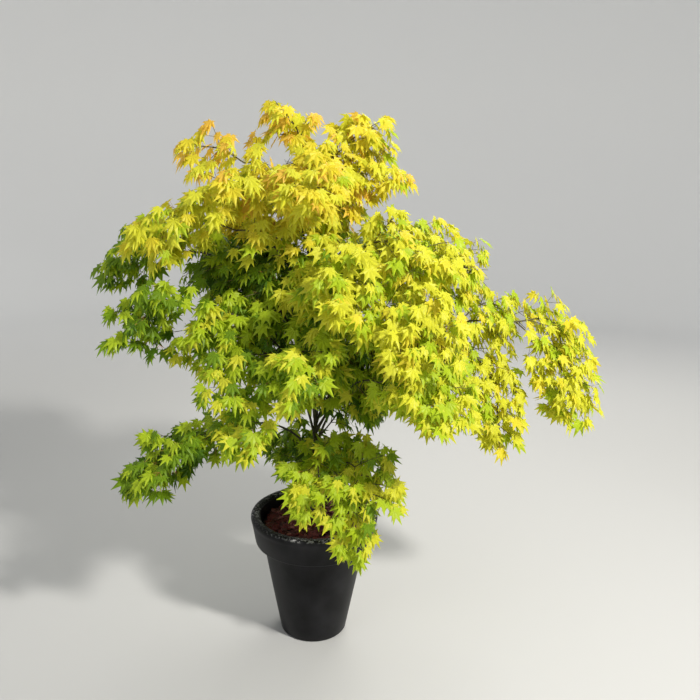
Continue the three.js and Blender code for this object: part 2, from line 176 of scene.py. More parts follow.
def finish_piece(piece, slot, *nodes):
    """The piece rides on the plant's one body, and stands for the solids that it replaces."""
    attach(piece, "root")
    if nodes:
        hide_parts(*nodes)
    print(piece.name, "-", len(piece.data.polygons), "faces")


print("the helpers are ready")

# %% [markdown]
# ## Floor and light
#
# A pale, matt floor that rises into a wall all round has no horizon line from any side. Its profile
# is flat, then a quarter circle, then upright, and is spun about the upright axis. The light is that
# of a bright garden: a small lamp high at the front right is the sun, a broad one at the left fills
# the shadows, and a third stands behind the crown, because thin leaves glow when light comes through
# them. The Standard view keeps the strong yellows and greens of the leaves as they are.

# %% Make the floor and its backdrop
FLOOR_RADIUS = 7
BEND_RADIUS = 3
WALL_TOP = 8
FLOOR_GREY = (0.47, 0.47, 0.46)
WALL_GREY = (0.88, 0.88, 0.87)


def new_object(name, shape, material):
    """Turn a bmesh into an object with one material."""
    mesh = bpy.data.meshes.new(name)
    shape.to_mesh(mesh)
    shape.free()
    mesh.materials.append(material)
    return add_object(name, mesh)


def make_smooth(shape):
    bmesh.ops.recalc_face_normals(shape, faces=shape.faces)
    for face in shape.faces:
        face.smooth = True


def spin_profile(shape, profile, steps):
    """Turn a line of (radius, height) points into a wall round the Z axis."""
    points = [shape.verts.new((radius, 0, height)) for radius, height in profile]
    edges = [shape.edges.new(pair) for pair in zip(points, points[1:])]
    turn = {"axis": (0, 0, 1), "angle": 2 * pi, "steps": steps}
    bmesh.ops.spin(shape, geom=points + edges, cent=(0, 0, 0), use_merge=True, **turn)
    bmesh.ops.remove_doubles(shape, verts=shape.verts, dist=1e-5)
    make_smooth(shape)


def backdrop_material():
    """Pale grey underfoot, and paler out on the wall, which gets less of the lamps' light."""
    finish = Finish("pale floor", 0.9)
    distance = finish.node("VectorMath", {0: finish.place}, "Value", operation="LENGTH")
    limits = {"Value": distance, "From Min": 2.5, "From Max": 8.0}
    outward = finish.node("MapRange", limits, "Result", interpolation_type="SMOOTHSTEP")
    finish.colour(finish.ramp(outward, [(0, FLOOR_GREY), (1, WALL_GREY)]))
    return finish.material


def make_backdrop():
    profile = [(0, 0)]
    for angle in np.linspace(0, pi / 2, 13):
        out = BEND_RADIUS * sin(angle)
        up = BEND_RADIUS * (1 - cos(angle))
        profile.append((FLOOR_RADIUS + out, up))
    profile.append((FLOOR_RADIUS + BEND_RADIUS, WALL_TOP))
    shape = bmesh.new()
    spin_profile(shape, profile, 64)
    bmesh.ops.reverse_faces(shape, faces=shape.faces)
    return new_object("floor", shape, backdrop_material())


floor = make_backdrop()
floor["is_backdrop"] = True
print("floor faces:", len(floor.data.polygons))

# %% Set the lamps
LAMP_AIM = Vector((0.1, 0, 1.1))


def add_lamp(name, place, size, power, colour):
    """A square soft lamp that looks at the middle of the crown."""
    lamp = bpy.data.lights.new(name, "AREA")
    lamp.size = size
    lamp.energy = power
    lamp.color = colour
    made = add_object(name, lamp)
    made.location = place
    made.rotation_euler = (LAMP_AIM - made.location).to_track_quat("-Z", "Y").to_euler()


add_lamp("sun side", (3.0, -2.8, 4.2), 0.45, 365, (1.0, 0.97, 0.92))
add_lamp("fill side", (-3.0, -3.0, 2.8), 3.0, 35, (0.96, 0.98, 1.0))
add_lamp("behind", (1.2, 3.2, 4.0), 2.4, 140, (1.0, 0.98, 0.92))

world = bpy.data.worlds.new("soft sky")
world.use_nodes = True
sky = world.node_tree.nodes["Background"]
sky.inputs["Color"].default_value = (0.93, 0.96, 1.0, 1)
sky.inputs["Strength"].default_value = 0.38
bpy.context.scene.world = world
bpy.context.scene.view_settings.view_transform = "Standard"

# %% [markdown]
# ## The planter
#
# The planter is moulded plastic: a body that widens upwards, a deep collar and a broad rolled lip. It
# is the same all round, so its profile, from the middle of the underside up the outside, over the lip
# and down inside, is spun about the upright axis. It is charcoal with a satin sheen. Pale specks lie
# where soil and rain have dried on the lip, and they also paint a highlight where light falls on the
# lip's top: a fine noise gives the specks, and a broad one the film of dust and the patches that they
# gather in.

# %% Draw the planter's profile and spin it
# Radius and height in millimetres.
POT_PROFILE = [
    (0, 4), (100, 4), (106, 0), (124, 0), (129, 2), (132, 6), (140.5, 52), (167.5, 195),
    (194.5, 345), (203, 384), (205, 388), (229, 388), (231.4, 389.2), (232.7, 392.5),
    (245.5, 463), (247.5, 473.5), (249, 477.5), (250, 484), (249.6, 491), (246.5, 496.5),
    (241.5, 499.6), (236, 500), (226, 498.5), (219, 496.5), (215.5, 493.5), (214, 489),
    (212, 470), (192.5, 388), (155, 200), (119, 20), (0, 20),
]
POT_STEPS = 120
# The pale specks are partly dried dust and partly a painted highlight on the lip's lit top.
SPECK_AND_HIGHLIGHT_COLOUR = (0.36, 0.355, 0.35, 1)


def planter_material():
    finish = Finish("charcoal plastic", 0.45)
    finish.shader.inputs["Specular IOR Level"].default_value = 0.16
    dust_and_highlight = finish.noise(9, 4)
    specks = finish.ramp(finish.noise(120, 5), [(0.50, (0, 0, 0)), (0.60, (1, 1, 1))])
    patches = finish.spread(dust_and_highlight, 0.15, 1, 0.40, 0.52)
    film = finish.ramp(dust_and_highlight, [(0.38, (0.003, 0.003, 0.0034)), (0.66, (0.013, 0.013, 0.0142))])
    # Dust lies on what faces up, and so does the painted highlight of the lit lip, so the Z of the
    # surface's own direction decides how much shows.
    facing = finish.node("NewGeometry", {}, "Normal")
    upward = finish.node("SeparateXYZ", {"Vector": facing}, "Z")
    level = finish.spread(upward, 0, 0.9, 0.25, 0.8)
    speck_and_highlight_cover = finish.product(finish.product(level, patches), specks)
    finish.colour(finish.mix(speck_and_highlight_cover, film, SPECK_AND_HIGHLIGHT_COLOUR))
    finish.roughness(dust_and_highlight, 0.34, 0.56)
    finish.bump(finish.noise(420, 2), 0.0001, 0.5)
    return finish.material


shape = bmesh.new()
spin_profile(shape, np.array(POT_PROFILE) / 1000, POT_STEPS)
planter = new_object("planter", shape, planter_material())
finish_piece(planter, "pot_plastic", "pot")

# %% [markdown]
# ## Potting soil and bark mulch
#
# The soil hardly shows, so its solid stays and only gets a dark, crumbly finish. What shows is the
# mulch: red-brown chips of pine bark, 15 to 34 mm long, on a dark bed. One chip is a flattened,
# bevelled block, pulled out of true. Several hundred copies are turned, sized and laid on the bed by
# a seeded draw, and joined by colour into three pieces.

# %% Give the soil its finish and lay the mulch bed


def soil_material(name, dark, light, scale):
    finish = Finish(name, 0.95)
    crumbs = finish.noise(scale, 6)
    finish.colour(finish.ramp(crumbs, [(0.35, dark), (0.7, light)]))
    finish.roughness(crumbs, 0.85, 1.0)
    finish.bump(crumbs, 0.003)
    return finish.material


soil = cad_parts["potting_soil"]
soil_finish = soil_material("potting soil", (0.009, 0.006, 0.004), (0.035, 0.022, 0.013), 160)
soil.data.materials.clear()
soil.data.materials.append(soil_finish)

BED_TOP = 0.447
# Radius and height. The bed's edge meets the pot's inside.
BED_PROFILE = [(0, 0.4323), (0.2010, 0.4323), (0.2045, BED_TOP), (0, BED_TOP)]
# Outside this radius the bed stays level, so that it meets the wall.
UNEVEN_RADIUS = 0.2
UNEVENNESS = 0.006


def make_mulch_bed():
    """A disc with an uneven top."""
    shape = bmesh.new()
    spin_profile(shape, BED_PROFILE, 64)
    top = BED_TOP - 0.001
    rings = [edge for edge in shape.edges if all(corner.co.z > top for corner in edge.verts)]
    bmesh.ops.subdivide_edges(shape, edges=rings, cuts=7, use_grid_fill=True)
    for corner in shape.verts:
        if corner.co.z > top and hypot(corner.co.x, corner.co.y) < UNEVEN_RADIUS:
            corner.co.z += UNEVENNESS * noise.noise(corner.co * 30)
    bmesh.ops.recalc_face_normals(shape, faces=shape.faces)
    material = soil_material("mulch bed", (0.008, 0.003, 0.003), (0.05, 0.012, 0.009), 110)
    return new_object("mulch_bed", shape, material)


mulch_bed = make_mulch_bed()
finish_piece(mulch_bed, "bark_mulch", "bark_mulch")

# %% Shape one chip and scatter it
CHIP_COUNT = 760
CHIP_SIZES = (0.015, 0.034)
CHIP_LIFTS = (0.003, 0.014)
CHIP_TILT = 0.33
CHIP_REACH = 0.196
WALL_RADIUS = 0.2035
CHIP_TINTS = {
    "mulch_chips_red": ((0.045, 0.005, 0.006), (0.22, 0.030, 0.026)),
    "mulch_chips_brown": ((0.026, 0.006, 0.005), (0.12, 0.030, 0.022)),
    "mulch_chips_pale": ((0.12, 0.030, 0.028), (0.40, 0.15, 0.125)),
}
# Half of the chips are red, the next 36 in a hundred brown and the rest pale.
CHIP_SHARES = (0.5, 0.86)


def arrays_of(shape):
    """A finished bmesh as arrays of corners and faces. The bmesh is freed."""
    corners = np.array([corner.co for corner in shape.verts])
    faces = np.array([[corner.index for corner in face.verts] for face in shape.faces])
    shape.free()
    return corners, faces


# Three places in the noise, one for each axis in which a corner is pulled.
PULLS = (Vector((9.3, -1.5, -7.9)), Vector((2.7, 4.1, 6.3)), Vector((-5.2, 8.6, 1.4)))


def one_chip():
    """The corners and faces of a chip a metre long, to be scaled where it lies."""
    shape = bmesh.new()
    bmesh.ops.create_cube(shape, size=1)
    bmesh.ops.scale(shape, verts=shape.verts, vec=(1, 0.55, 0.2))
    bmesh.ops.bevel(
        shape, geom=shape.edges, affect="EDGES", offset=0.07, segments=1, profile=0.5, material=-1
    )
    for corner in shape.verts:
        pull = [noise.noise(corner.co * 2.3 + place) for place in PULLS]
        corner.co += Vector(pull) * 0.16
    bmesh.ops.triangulate(shape, faces=shape.faces)
    return arrays_of(shape)


def random_turns(random, count, tilt):
    """Rotation matrices: any way round, tipped from level by about tilt, in radians."""
    turns = []
    for _ in range(count):
        spin = Matrix.Rotation(random.uniform(0, 2 * pi), 3, "Z")
        tip = Matrix.Rotation(random.normal(0, tilt), 3, "X")
        roll = Matrix.Rotation(random.normal(0, tilt), 3, "Y")
        turns.append(np.array(spin @ tip @ roll))
    return np.array(turns)


def joined_copies(corners, faces, places, turns, sizes):
    """One mesh's arrays for many copies of a small shape."""
    moved = np.einsum("nij,nvj->nvi", turns, corners[None] * sizes[:, None, None]) + places[:, None]
    starts = np.arange(len(places)) * len(corners)
    return moved.reshape(-1, 3), (faces[None] + starts[:, None, None]).reshape(-1, faces.shape[1])


def object_from_arrays(name, corners, faces, material, smooth=False):
    mesh = bpy.data.meshes.new(name)
    mesh.from_pydata(corners.tolist(), [], faces if isinstance(faces, list) else faces.tolist())
    mesh.materials.append(material)
    mesh.polygons.foreach_set("use_smooth", np.full(len(mesh.polygons), smooth))
    mesh.update()
    return add_object(name, mesh)


def bark_chip_material(name, dark, light):
    finish = Finish(name.replace("_", " "), 0.85)
    grain = finish.noise(260, 5, (1, 0.35, 1))
    finish.colour(finish.ramp(grain, [(0.3, dark), (0.72, light)]))
    finish.roughness(grain, 0.7, 0.95)
    finish.bump(grain, 0.0012)
    return finish.material


def scatter_chips():
    random = np.random.default_rng(3)
    corners, faces = one_chip()
    reach = CHIP_REACH * np.sqrt(random.uniform(0.012, 1, CHIP_COUNT))
    angle = random.uniform(0, 2 * pi, CHIP_COUNT)
    height = BED_TOP + random.uniform(*CHIP_LIFTS, CHIP_COUNT)
    places = np.stack([reach * np.cos(angle), reach * np.sin(angle), height], axis=1)
    sizes = random.uniform(*CHIP_SIZES, CHIP_COUNT)
    # A chip beside the wall is pulled in by its own half length.
    inside = np.minimum(1, (WALL_RADIUS - 0.55 * sizes) / np.maximum(reach, 1e-3))
    places[:, :2] *= inside[:, None]
    turns = random_turns(random, CHIP_COUNT, CHIP_TILT)
    group = np.searchsorted(CHIP_SHARES, random.uniform(0, 1, CHIP_COUNT), side="right")
    for number, (name, tints) in enumerate(CHIP_TINTS.items()):
        chosen = group == number
        arrays = joined_copies(corners, faces, places[chosen], turns[chosen], sizes[chosen])
        finish_piece(object_from_arrays(name, *arrays, bark_chip_material(name, *tints)), "bark_mulch")


scatter_chips()

# %% [markdown]
# ## The lines that the tree grows along
#
# Trunk, limbs and stems each follow one smooth line. The lines of the trunk and the stems pass
# through given points as centripetal Catmull-Rom curves, which make no loops between them. A limb's
# line is a quadratic curve: it leaves the trunk steeply and arches over. A line is a row of points,
# and a helper finds the place at a share of its length.

# %% Write the curves
GROUND = 0.432
TRUNK_TIP = 1.830
TRUNK_POINTS = [
    (0, 0, GROUND - 0.008),
    (-0.003, 0.002, 0.600),
    (0.001, 0, 0.790),
    (-0.009, 0.004, 1.090),
    (-0.018, 0, 1.400),
    (-0.034, 0.002, 1.650),
    (-0.050, 0.006, TRUNK_TIP),
]


def through_points(points, per_span=24):
    """A centripetal Catmull-Rom line through the points."""
    p = np.array(points, float)
    p = np.vstack([2 * p[0] - p[1], p, 2 * p[-1] - p[-2]])
    line = []
    for a, b, c, d in zip(p, p[1:], p[2:], p[3:]):
        before, span, after = (max(norm(v), 1e-9) ** 0.5 for v in (b - a, c - b, d - c))
        leave = ((b - a) / before - (c - a) / (before + span) + (c - b) / span) * span
        arrive = ((c - b) / span - (d - b) / (span + after) + (d - c) / after) * span
        for t in np.linspace(0, 1, per_span, endpoint=False):
            line.append(
                b + leave * t + (-3 * b + 3 * c - 2 * leave - arrive) * t**2
                + (2 * b - 2 * c + leave + arrive) * t**3
            )
    return np.array([*line, p[-2]])


def arch(root, bend, tip, count=25):
    t = np.linspace(0, 1, count)[:, None]
    return (1 - t) ** 2 * root + 2 * t * (1 - t) * bend + t**2 * tip


def at_share(line, shares):
    """Points and headings at shares of a line's length."""
    steps = norm(np.diff(line, axis=0), axis=1)
    gone = np.concatenate([[0], np.cumsum(steps)])
    wanted = np.atleast_1d(shares) * gone[-1]
    places = np.stack([np.interp(wanted, gone, line[:, axis]) for axis in range(3)], axis=1)
    index = np.clip(np.searchsorted(gone, wanted, side="right") - 1, 0, len(steps) - 1)
    return places, unit_rows(np.diff(line, axis=0)[index])


def length_of(line):
    return float(norm(np.diff(line, axis=0), axis=1).sum())


def around(azimuth, reach, height):
    """A point by its direction, and by its reach and height in millimetres."""
    angle = radians(azimuth)
    reach = reach / 1000
    return np.array([reach * cos(angle), reach * sin(angle), height / 1000])


def unit(vector):
    return vector / max(norm(vector), 1e-12)


def unit_rows(rows):
    return rows / np.maximum(norm(rows, axis=1, keepdims=True), 1e-9)


trunk_line = through_points(TRUNK_POINTS)
print("trunk:", round(length_of(trunk_line), 3), "m long")

# %% [markdown]
# ## The trunk
#
# A maple of this size has a slim trunk, thumb-thick above the soil and thinner than a pencil at the
# top. It flares over its roots. A bevelled curve would be smooth all over. Here a ring of corners is
# extruded along the line, one short step at a time, so that each corner can be moved. Young maple
# bark is olive brown, with faint long ridges and raised rings where twigs once grew: a noise that is
# stretched along the trunk pushes the corners in and out, with a ring every 62 mm. The finest relief
# and the pale pores are in the material.

# %% Make the bark's finish
PORE_COLOUR = (0.22, 0.19, 0.13, 1)


def bark_material(name, dark, light, scale=1.0):
    """Bark from a dark and a light colour. A larger scale makes its pattern finer."""
    finish = Finish(name, 0.8)
    ridges = finish.noise(180 * scale, 5, (1, 1, 0.12))
    patches = finish.noise(24 * scale, 3)
    pores = finish.noise(420 * scale, 2, (0.5, 0.5, 1.6))
    base = finish.ramp(patches, [(0.3, dark), (0.7, light)])
    furrows = finish.ramp(ridges, [(0.3, (0.45, 0.42, 0.38)), (0.62, (1, 1, 1))])
    ridged = finish.mix(0.7, base, furrows, "MULTIPLY")
    spots = finish.ramp(pores, [(0.68, (0, 0, 0)), (0.76, (0.7, 0.7, 0.7))])
    finish.colour(finish.mix(spots, ridged, PORE_COLOUR))
    finish.roughness(ridges, 0.62, 0.9)
    finish.bump(ridges, 0.0009 / scale)
    finish.bump(pores, 0.0004 / scale, 0.6)
    return finish.material


bark = bark_material("young maple bark", (0.028, 0.024, 0.013), (0.085, 0.078, 0.038))
print("bark nodes:", len(bark.node_tree.nodes))

# %% Extrude the trunk
FORK = 0.790
# Radii of the trunk: at the ground and just below the fork, then just above it and at the tip.
RADII_BELOW = (0.013, 0.009)
RADII_ABOVE = (0.007, 0.0028)
FLARE = 0.010
FLARE_HEIGHT = 0.034
ROOT_COUNT = 5
ROOT_RELIEF = 0.00352
KNUCKLE_SPACING = 0.062


def next_ring(ring, fresh):
    """The fresh corners, in the order of the ring that they were extruded from."""
    return [
        next(edge.other_vert(old) for edge in old.link_edges if edge.other_vert(old) in fresh)
        for old in ring
    ]


def extrude_tube(shape, line, radius_at, sides, steps, relief):
    """A tube of rings along a line. relief(share, angle, place) is how far its skin stands proud."""
    shares = np.linspace(0, 1, steps + 1)
    places, headings = at_share(line, shares)
    side = np.eye(3)[0 if abs(headings[0][0]) < 0.8 else 1]
    ring = bmesh.ops.create_circle(shape, cap_ends=False, segments=sides, radius=1)["verts"]
    edges = list({edge for corner in ring for edge in corner.link_edges})
    first = ring
    for share, place, heading in zip(shares, places, headings):
        if share > 0:
            grown = bmesh.ops.extrude_edge_only(shape, edges=edges)["geom"]
            edges = [part for part in grown if isinstance(part, bmesh.types.BMEdge)]
            ring = next_ring(ring, {part for part in grown if isinstance(part, bmesh.types.BMVert)})
        # The last ring's side is carried on, so the tube doesn't twist.
        side = unit(side - heading * np.dot(side, heading))
        other = np.cross(heading, side)
        for number, corner in enumerate(ring):
            angle = 2 * pi * number / sides
            outward = side * cos(angle) + other * sin(angle)
            reach = radius_at(share, place)
            reach += relief(share, angle, Vector(place + outward * reach))
            corner.co = Vector(place + outward * reach)
    bmesh.ops.contextual_create(shape, geom=first)
    bmesh.ops.contextual_create(shape, geom=ring)
    make_smooth(shape)


def trunk_radius(share, place):
    height = place[2]
    flare = FLARE * exp(-(height - GROUND) / FLARE_HEIGHT)
    if height < FORK:
        return flare + np.interp(height, [GROUND, FORK], RADII_BELOW)
    return flare + np.interp(height, [FORK, TRUNK_TIP], RADII_ABOVE)


def bark_relief(strength):
    """Long low ridges, with a raised ring every 62 mm where a pair of buds once was."""

    def relief(share, angle, place):
        ridge = noise.noise(Vector((place.x * 130, place.y * 130, place.z * 14))) * 0.5
        knuckle = max(0, cos(place.z * 2 * pi / KNUCKLE_SPACING) - 0.86) * 2.4
        return strength * (ridge + knuckle)

    return relief


def trunk_relief(share, angle, place):
    roots = ROOT_RELIEF * exp(-30 * share) * cos(ROOT_COUNT * angle)
    return roots + bark_relief(0.0011)(share, angle, place)


shape = bmesh.new()
extrude_tube(shape, trunk_line, trunk_radius, 18, 230, trunk_relief)
# The foot is cut flat, just above the soil.
cut = {"plane_co": (0, 0, GROUND + 0.0004), "plane_no": (0, 0, 1), "clear_inner": True}
bmesh.ops.bisect_plane(shape, geom=[*shape.verts, *shape.edges, *shape.faces], **cut)
bmesh.ops.holes_fill(shape, edges=[edge for edge in shape.edges if edge.is_boundary])
trunk = new_object("trunk_bark", shape, bark)
finish_piece(trunk, "bark", "trunk")

# %% [markdown]
# ## The limbs
#
# Twenty limbs leave the trunk one above the other, steeply at first, then arching out to carry the
# foliage in layers. Each row gives the height where a limb leaves the trunk, then the direction,
# reach and height of its tip. Each is the same tube as the trunk, slimmer, with a swollen collar at
# its foot. They are one piece, since they share one bark.

# %% List the limbs and build them
# Millimetres, and degrees from +X towards +Y.
LIMBS = {
    "skirt": (610, -60, 225, 690),
    "low_left": (735, -148, 300, 905),
    "right_mid_low": (772, -40, 300, 1090),
    "back_low": (700, 88, 170, 900),
    "right_long": (830, 3, 500, 1240),
    "left_low": (800, -154, 200, 1160),
    "back_right_low": (862, 40, 320, 1110),
    "back_left_low": (890, 124, 280, 1220),
    "right_mid": (930, -46, 240, 1310),
    "left_low_far": (965, -171, 430, 1310),
    "back_middle": (1000, 92, 250, 1290),
    "far_right": (1035, -4, 730, 1290),
    "left_far": (1090, 176, 500, 1510),
    "right_upper_far": (1160, 6, 320, 1490),
    "right_upper": (1290, -34, 145, 1530),
    "left_high": (1260, -163, 290, 1600),
    "back_left_high": (1300, 130, 250, 1550),
    "back_right_high": (1340, 50, 250, 1530),
    "upper_left": (1480, -160, 150, 1700),
    "upper_left_tip": (1590, 178, 260, 1830),
}
# A limb's bend lies at this share of the way to its tip, and this far above the tip.
BEND_SHARE = 0.45
BEND_RISE = 0.025
LIMB_RADII = (0.006, 0.0028)
COLLAR = 0.0028
LIMB_STEP = 0.008


def on_trunk(height):
    """The point on the trunk's line at a height, or the points at many heights."""
    axes = [np.interp(height, trunk_line[:, 2], trunk_line[:, axis]) for axis in range(3)]
    return np.stack(axes, axis=-1)


def limb_line(height_on_trunk, azimuth, reach, height):
    root = on_trunk(height_on_trunk / 1000)
    tip = around(azimuth, reach, height)
    bend = root + BEND_SHARE * (tip - root)
    bend[2] = tip[2] + BEND_RISE
    return arch(root, bend, tip)


def limb_radius(share, place):
    foot, tip = LIMB_RADII
    return foot + (tip - foot) * sqrt(share) + COLLAR * exp(-share * 26)


limb_lines = {name: limb_line(*row) for name, row in LIMBS.items()}
shape = bmesh.new()
for line in limb_lines.values():
    steps = max(12, round(length_of(line) / LIMB_STEP))
    extrude_tube(shape, line, limb_radius, 8, steps, bark_relief(0.0007))
limbs = new_object("limbs_bark", shape, bark)
finish_piece(limbs, "bark", *("limb_" + name for name in LIMBS))

# %% [markdown]
# ## The sprays
#
# The crown is made of sprays: layers of foliage, each on a stem that grows on from a limb's tip or
# out of the trunk. Each row says what the stem grows on (a height on the trunk, a limb, or 0 for the
# limb of the spray's own name), then the direction, reach and height of the spray's heart, how far it
# spreads past it, how far its outer end falls, and its autumn tint. The tree colours from the top:
# apricot and gold at the crown, yellow on the sunny right, lime in the middle and plain green on the
# left, which is partly painted shade where that side lies in shade. The skirt over the pot and the
# layer low on the right are of a bright yellow green that is painted light, standing in for the sun
# that falls on them under the crown.

# %% List the sprays
# Millimetres, and degrees from +X towards +Y.
SPRAYS = {
    "crown_tip": (1830, 165, 80, 1950, 80, -85, "apricot"),
    "crown_right": (1730, 15, 100, 1900, 80, -60, "gold"),
    "upper_right": (1560, -8, 150, 1800, 95, 10, "gold"),
    "upper_front": (1645, -97, 150, 1765, 115, 40, "gold"),
    "upper_back": (1500, 95, 170, 1750, 130, 30, "gold"),
    "upper_left": (0, -156, 265, 1740, 130, 30, "gold"),
    "upper_left_tip": (0, 179, 340, 1875, 75, -10, "apricot"),
    "left_high": (0, -161, 440, 1615, 130, 50, "yellow"),
    # The green sprays on this side are partly painted shade, since the left of the crown lies in shade.
    "left_far": (0, 176, 615, 1500, 100, 75, "green"),
    "left_inner": (1205, 158, 350, 1440, 150, 40, "green"),
    "left_low_far": (0, -171, 530, 1310, 125, 85, "green"),
    "left_mid_low": ("left_low", -168, 340, 1235, 125, 60, "lime"),
    "left_drop": ("left_low", -138, 335, 1145, 85, 70, "lime"),
    "low_left_far": ("low_left", -156, 505, 830, 115, 110, "green"),
    "low_left_mid": ("low_left", -131, 350, 965, 90, 45, "lime"),
    "centre_low": (900, -98, 265, 1185, 120, 70, "lime"),
    # These fresh sprays are painted brighter, as if sun fell on them under the crown.
    "skirt_left": (655, -84, 165, 755, 105, 105, "fresh"),
    "skirt_right": (690, -52, 235, 745, 120, 80, "fresh"),
    "skirt_drop": ("skirt", -62, 295, 600, 45, 90, "fresh"),
    "skirt_back": (640, 112, 190, 710, 105, 80, "green"),
    "right_upper": (0, -32, 285, 1550, 160, 45, "yellow"),
    "right_upper_far": (0, 6, 450, 1500, 130, 80, "yellow"),
    "front_high": (1250, -70, 260, 1450, 120, 60, "yellow"),
    "right_mid": (0, -47, 405, 1330, 155, 80, "yellow"),
    "right_mid_low": (0, -39, 460, 1130, 125, 75, "fresh"),
    "right_inner": (795, 6, 265, 1065, 105, 55, "lime"),
    "right_far": ("right_long", 5, 640, 1310, 110, 60, "yellow"),
    "right_drop": ("right_long", -13, 650, 1070, 55, 180, "yellow"),
    "far_right_top": ("far_right", -1, 850, 1265, 95, 60, "yellow"),
    "far_right_drop": ("far_right", -8, 880, 1130, 80, 140, "yellow"),
    "back_left_high": (0, 130, 430, 1560, 150, 60, "gold"),
    "back_right_high": (0, 52, 430, 1460, 150, 60, "yellow"),
    "back_middle": (0, 92, 400, 1300, 140, 80, "lime"),
    "back_left_low": (0, 123, 440, 1230, 145, 70, "green"),
    "back_right_low": (0, 40, 490, 1110, 150, 100, "lime"),
    "back_low": (0, 85, 330, 1000, 130, 90, "green"),
}
# Leaves hang from a drooping stem, so it passes this far above the middle of the spray.
STEM_LIFT = 0.030
hearts = np.array([around(*row[1:4]) for row in SPRAYS.values()])


def stem_line(name, on, azimuth, reach, height, spread, fall):
    """From the limb's tip or the trunk, over the heart, to the spray's outer end."""
    heart = around(azimuth, reach, height)
    if fall > 0:
        heart[2] += STEM_LIFT
    on = on or name
    root = limb_lines[on][-1] if isinstance(on, str) else on_trunk(on / 1000)
    outward = unit((heart - root) * (1, 1, 0))
    end = heart + outward * (spread / 1000) - np.array([0, 0, fall / 1000])
    return through_points([root, heart, end], per_span=12)


stem_lines = {name: stem_line(name, *row[:6]) for name, row in SPRAYS.items()}
print("stems:", len(stem_lines))

# %% [markdown]
# ## How a spray grows
#
# A maple's twigs and leaves stand in opposite pairs. Along the stem a pair of side twigs leaves every
# few centimetres, at about 54 degrees, one pair nearly level and the next nearly upright. Each side
# twig carries smaller ones by the same rule, and a side of a joint that bears no twig bears a leaf on
# a thin stalk. Twigs sway a little to one side, and their tips hang. One function grows a shoot and
# calls itself for the finer ones. The stem bears leaves too, a few sprays are airy, with fewer twigs,
# and short spurs on the limbs and the trunk fill the crown's inside.

# %% Write the growing rule
JOINT = 0.037
TWIG_ANGLE = 54
# The pairs' turns from level, in degrees, which alternate along a twig.
PAIR_TURNS = (12, 66)
TURN_VARIES = (0.6, 1.3)
TWIG_CHANCE = 0.66
TWIG_SHARE = 0.62
SHORTEST_TWIG = 0.035
SWAY = 0.10
DROOP = 0.16
# A shoot's last leaf needs this much room.
LEAF_ROOM = 0.03
UP = np.array([0.0, 0.0, 1.0])


def across(heading, degrees=0):
    """A direction across a heading: level, then turned about the heading by some degrees."""
    left = unit(np.cross(UP, heading)) if abs(heading[2]) < 0.999 else np.eye(3)[0]
    angle = radians(degrees)
    lean = heading * np.dot(heading, left) * (1 - cos(angle))
    return left * cos(angle) + np.cross(heading, left) * sin(angle) + lean


def pair_aside(random, forward, number):
    """The direction across a heading in which a pair of twigs or leaves stands."""
    return across(forward, PAIR_TURNS[number % 2] * random.uniform(*TURN_VARIES))


def branch_off(random, forward, aside, varies):
    """A heading at about TWIG_ANGLE from the twig that it leaves."""
    angle = radians(TWIG_ANGLE * random.uniform(1 - varies, 1 + varies))
    return forward * cos(angle) + aside * sin(angle)


class Growth:
    """What has grown so far: twigs of each rank, and one row for each leaf."""

    def __init__(self):
        self.twigs = {1: [], 2: [], 3: []}
        self.leaves = []
        self.spray = 0

    def add_leaf(self, place, heading, young):
        self.leaves.append((*place, *heading, young, self.spray))

    def room_for(self, start, heading, length):
        """The length at which a shoot, with its last leaf, ends inside the solid model's box."""
        low, high = np.array(solid_box)
        while length > 0.02:
            end = start + heading * (length + LEAF_ROOM)
            if (end > low).all() and (end < high).all():
                break
            length *= 0.7
        return length

    def shoot(self, random, start, heading, length, rank):
        """A shoot that droops towards its tip, with a pair of twigs or leaves at each joint."""
        length = self.room_for(start, heading, length)
        joints = max(1, round(length / JOINT))
        shares = np.linspace(0, 1, joints + 1)[:, None]
        sway = across(heading) * random.normal(0, SWAY)
        line = start + length * (shares * heading + shares**2 * (sway - DROOP * UP))
        self.twigs[rank].append(line)
        for i in range(1, joints + 1):
            forward = unit(line[i] - line[i - 1])
            aside = pair_aside(random, forward, i + rank)
            left_over = length * (1 - i / joints)
            for sign in (1, -1):
                side = branch_off(random, forward, sign * aside, 0.2)
                if rank < 3 and i < joints and random.uniform() < TWIG_CHANCE:
                    longest = max(SHORTEST_TWIG, TWIG_SHARE * left_over)
                    self.shoot(random, line[i], side, longest, rank + 1)
                else:
                    self.add_leaf(line[i], side, i / joints)
        self.add_leaf(line[-1], forward, 1.0)


# The share of side twigs that grow in the airy sprays, where the ground shows between the leaves.
AIRY = {"left_drop": 0.40, "low_left_mid": 0.50, "left_mid_low": 0.75, "right_far": 0.80}
PAIR_SPACING = 0.042


